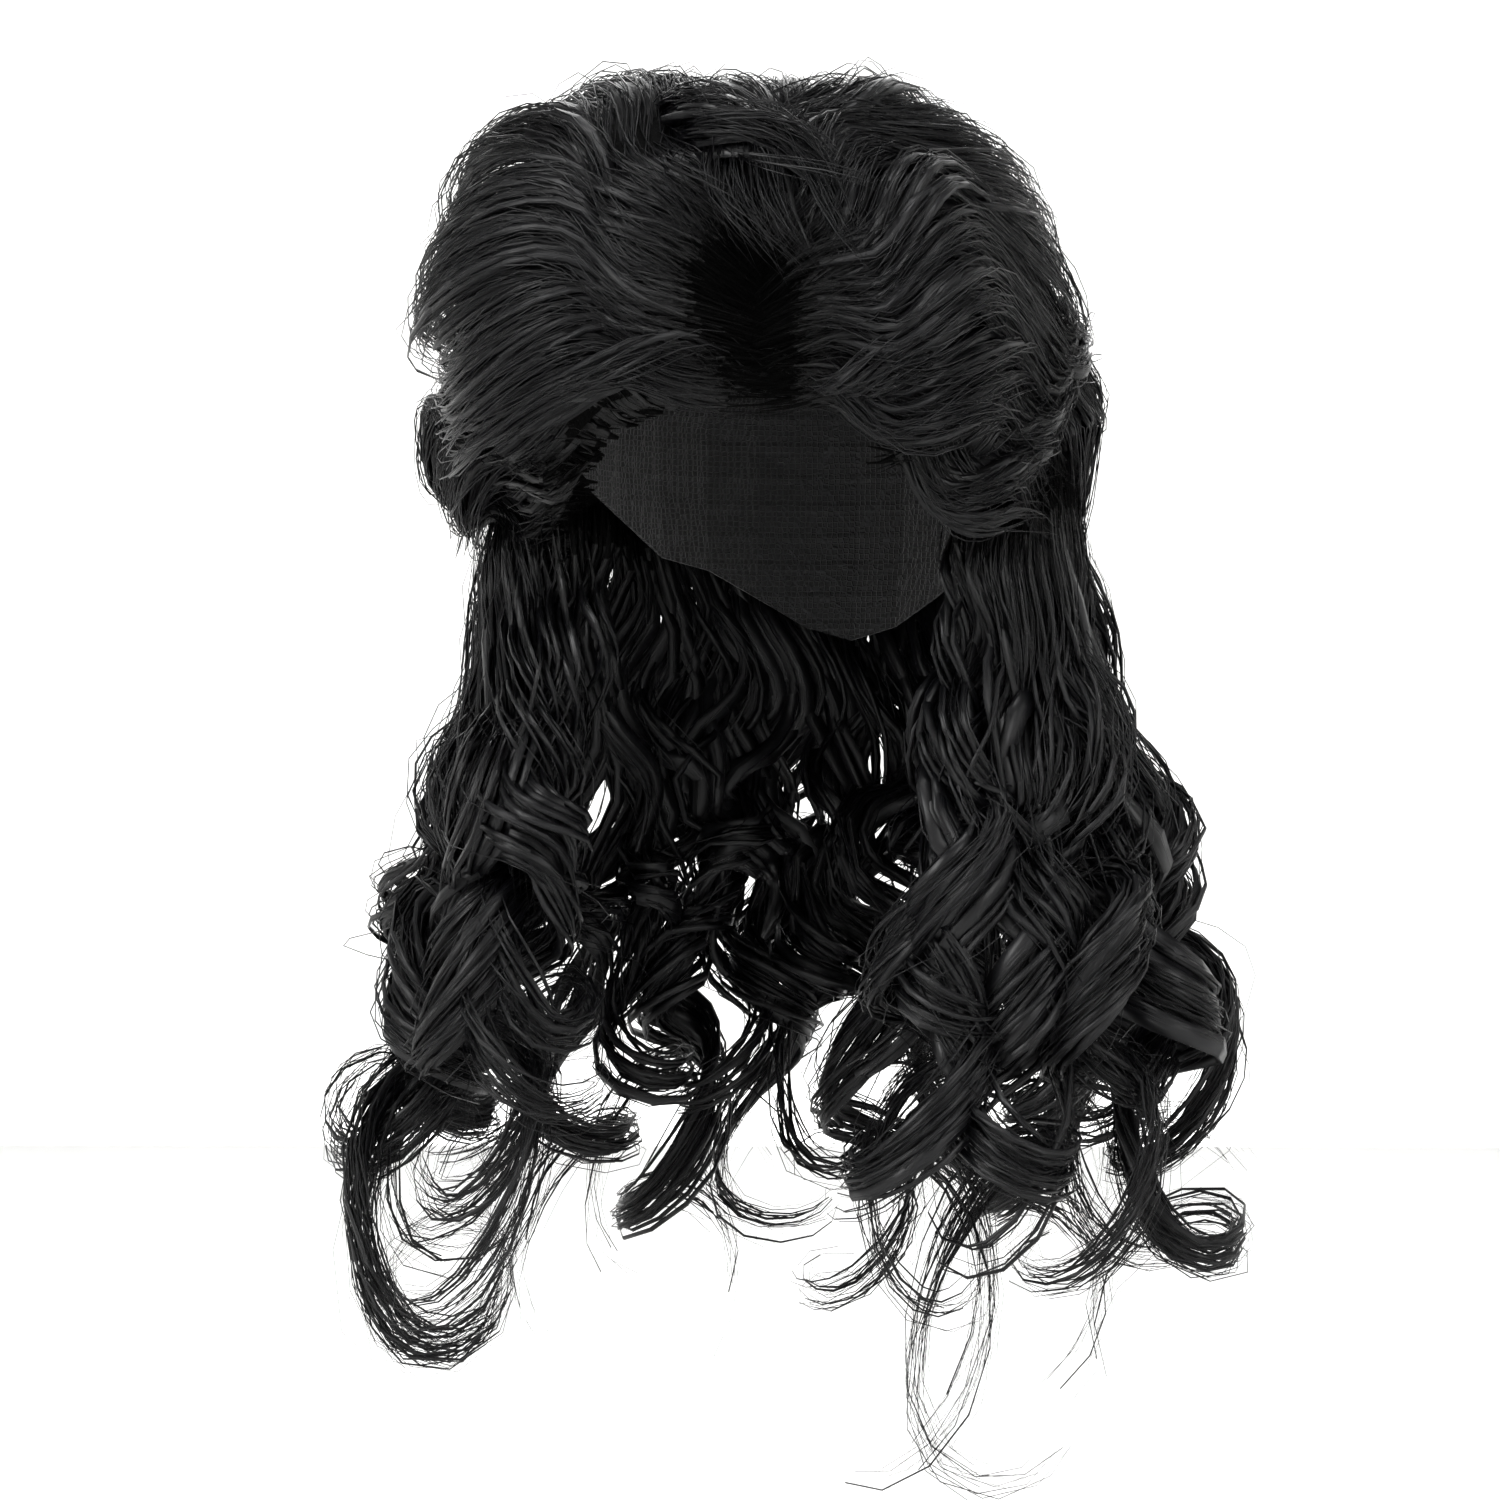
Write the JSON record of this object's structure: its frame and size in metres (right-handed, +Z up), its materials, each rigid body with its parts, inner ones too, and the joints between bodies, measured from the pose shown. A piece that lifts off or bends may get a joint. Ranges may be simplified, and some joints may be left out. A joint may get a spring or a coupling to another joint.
{
  "type": "mullet wig",
  "caption": "Long curly wig, short teased and swept back over the forehead, on a stretch cap that is open for the head.",
  "frame": {"origin": "crown seat: the middle of the cap's inner face at its top, where the top of the head touches it", "axes": "+Z up, -Y the way the wearer's face looks, +X towards the wearer's left"},
  "size_m": [0.3249, 0.2728, 0.4777],
  "materials": {
    "cap_net": "matt black stretch net",
    "hair_fibre": "semi-gloss black synthetic fibre"
  },
  "bodies": {
    "root": {"cap_crown": "cap_net", "cap_band": "cap_net", "crown_hair": "hair_fibre", "front_sweep_right": "hair_fibre", "front_sweep_left": "hair_fibre", "side_wing_right": "hair_fibre", "side_wing_left": "hair_fibre", "long_curls_right": "hair_fibre", "long_curls_left": "hair_fibre", "long_curls_back": "hair_fibre"}
  },
  "joints": []
}
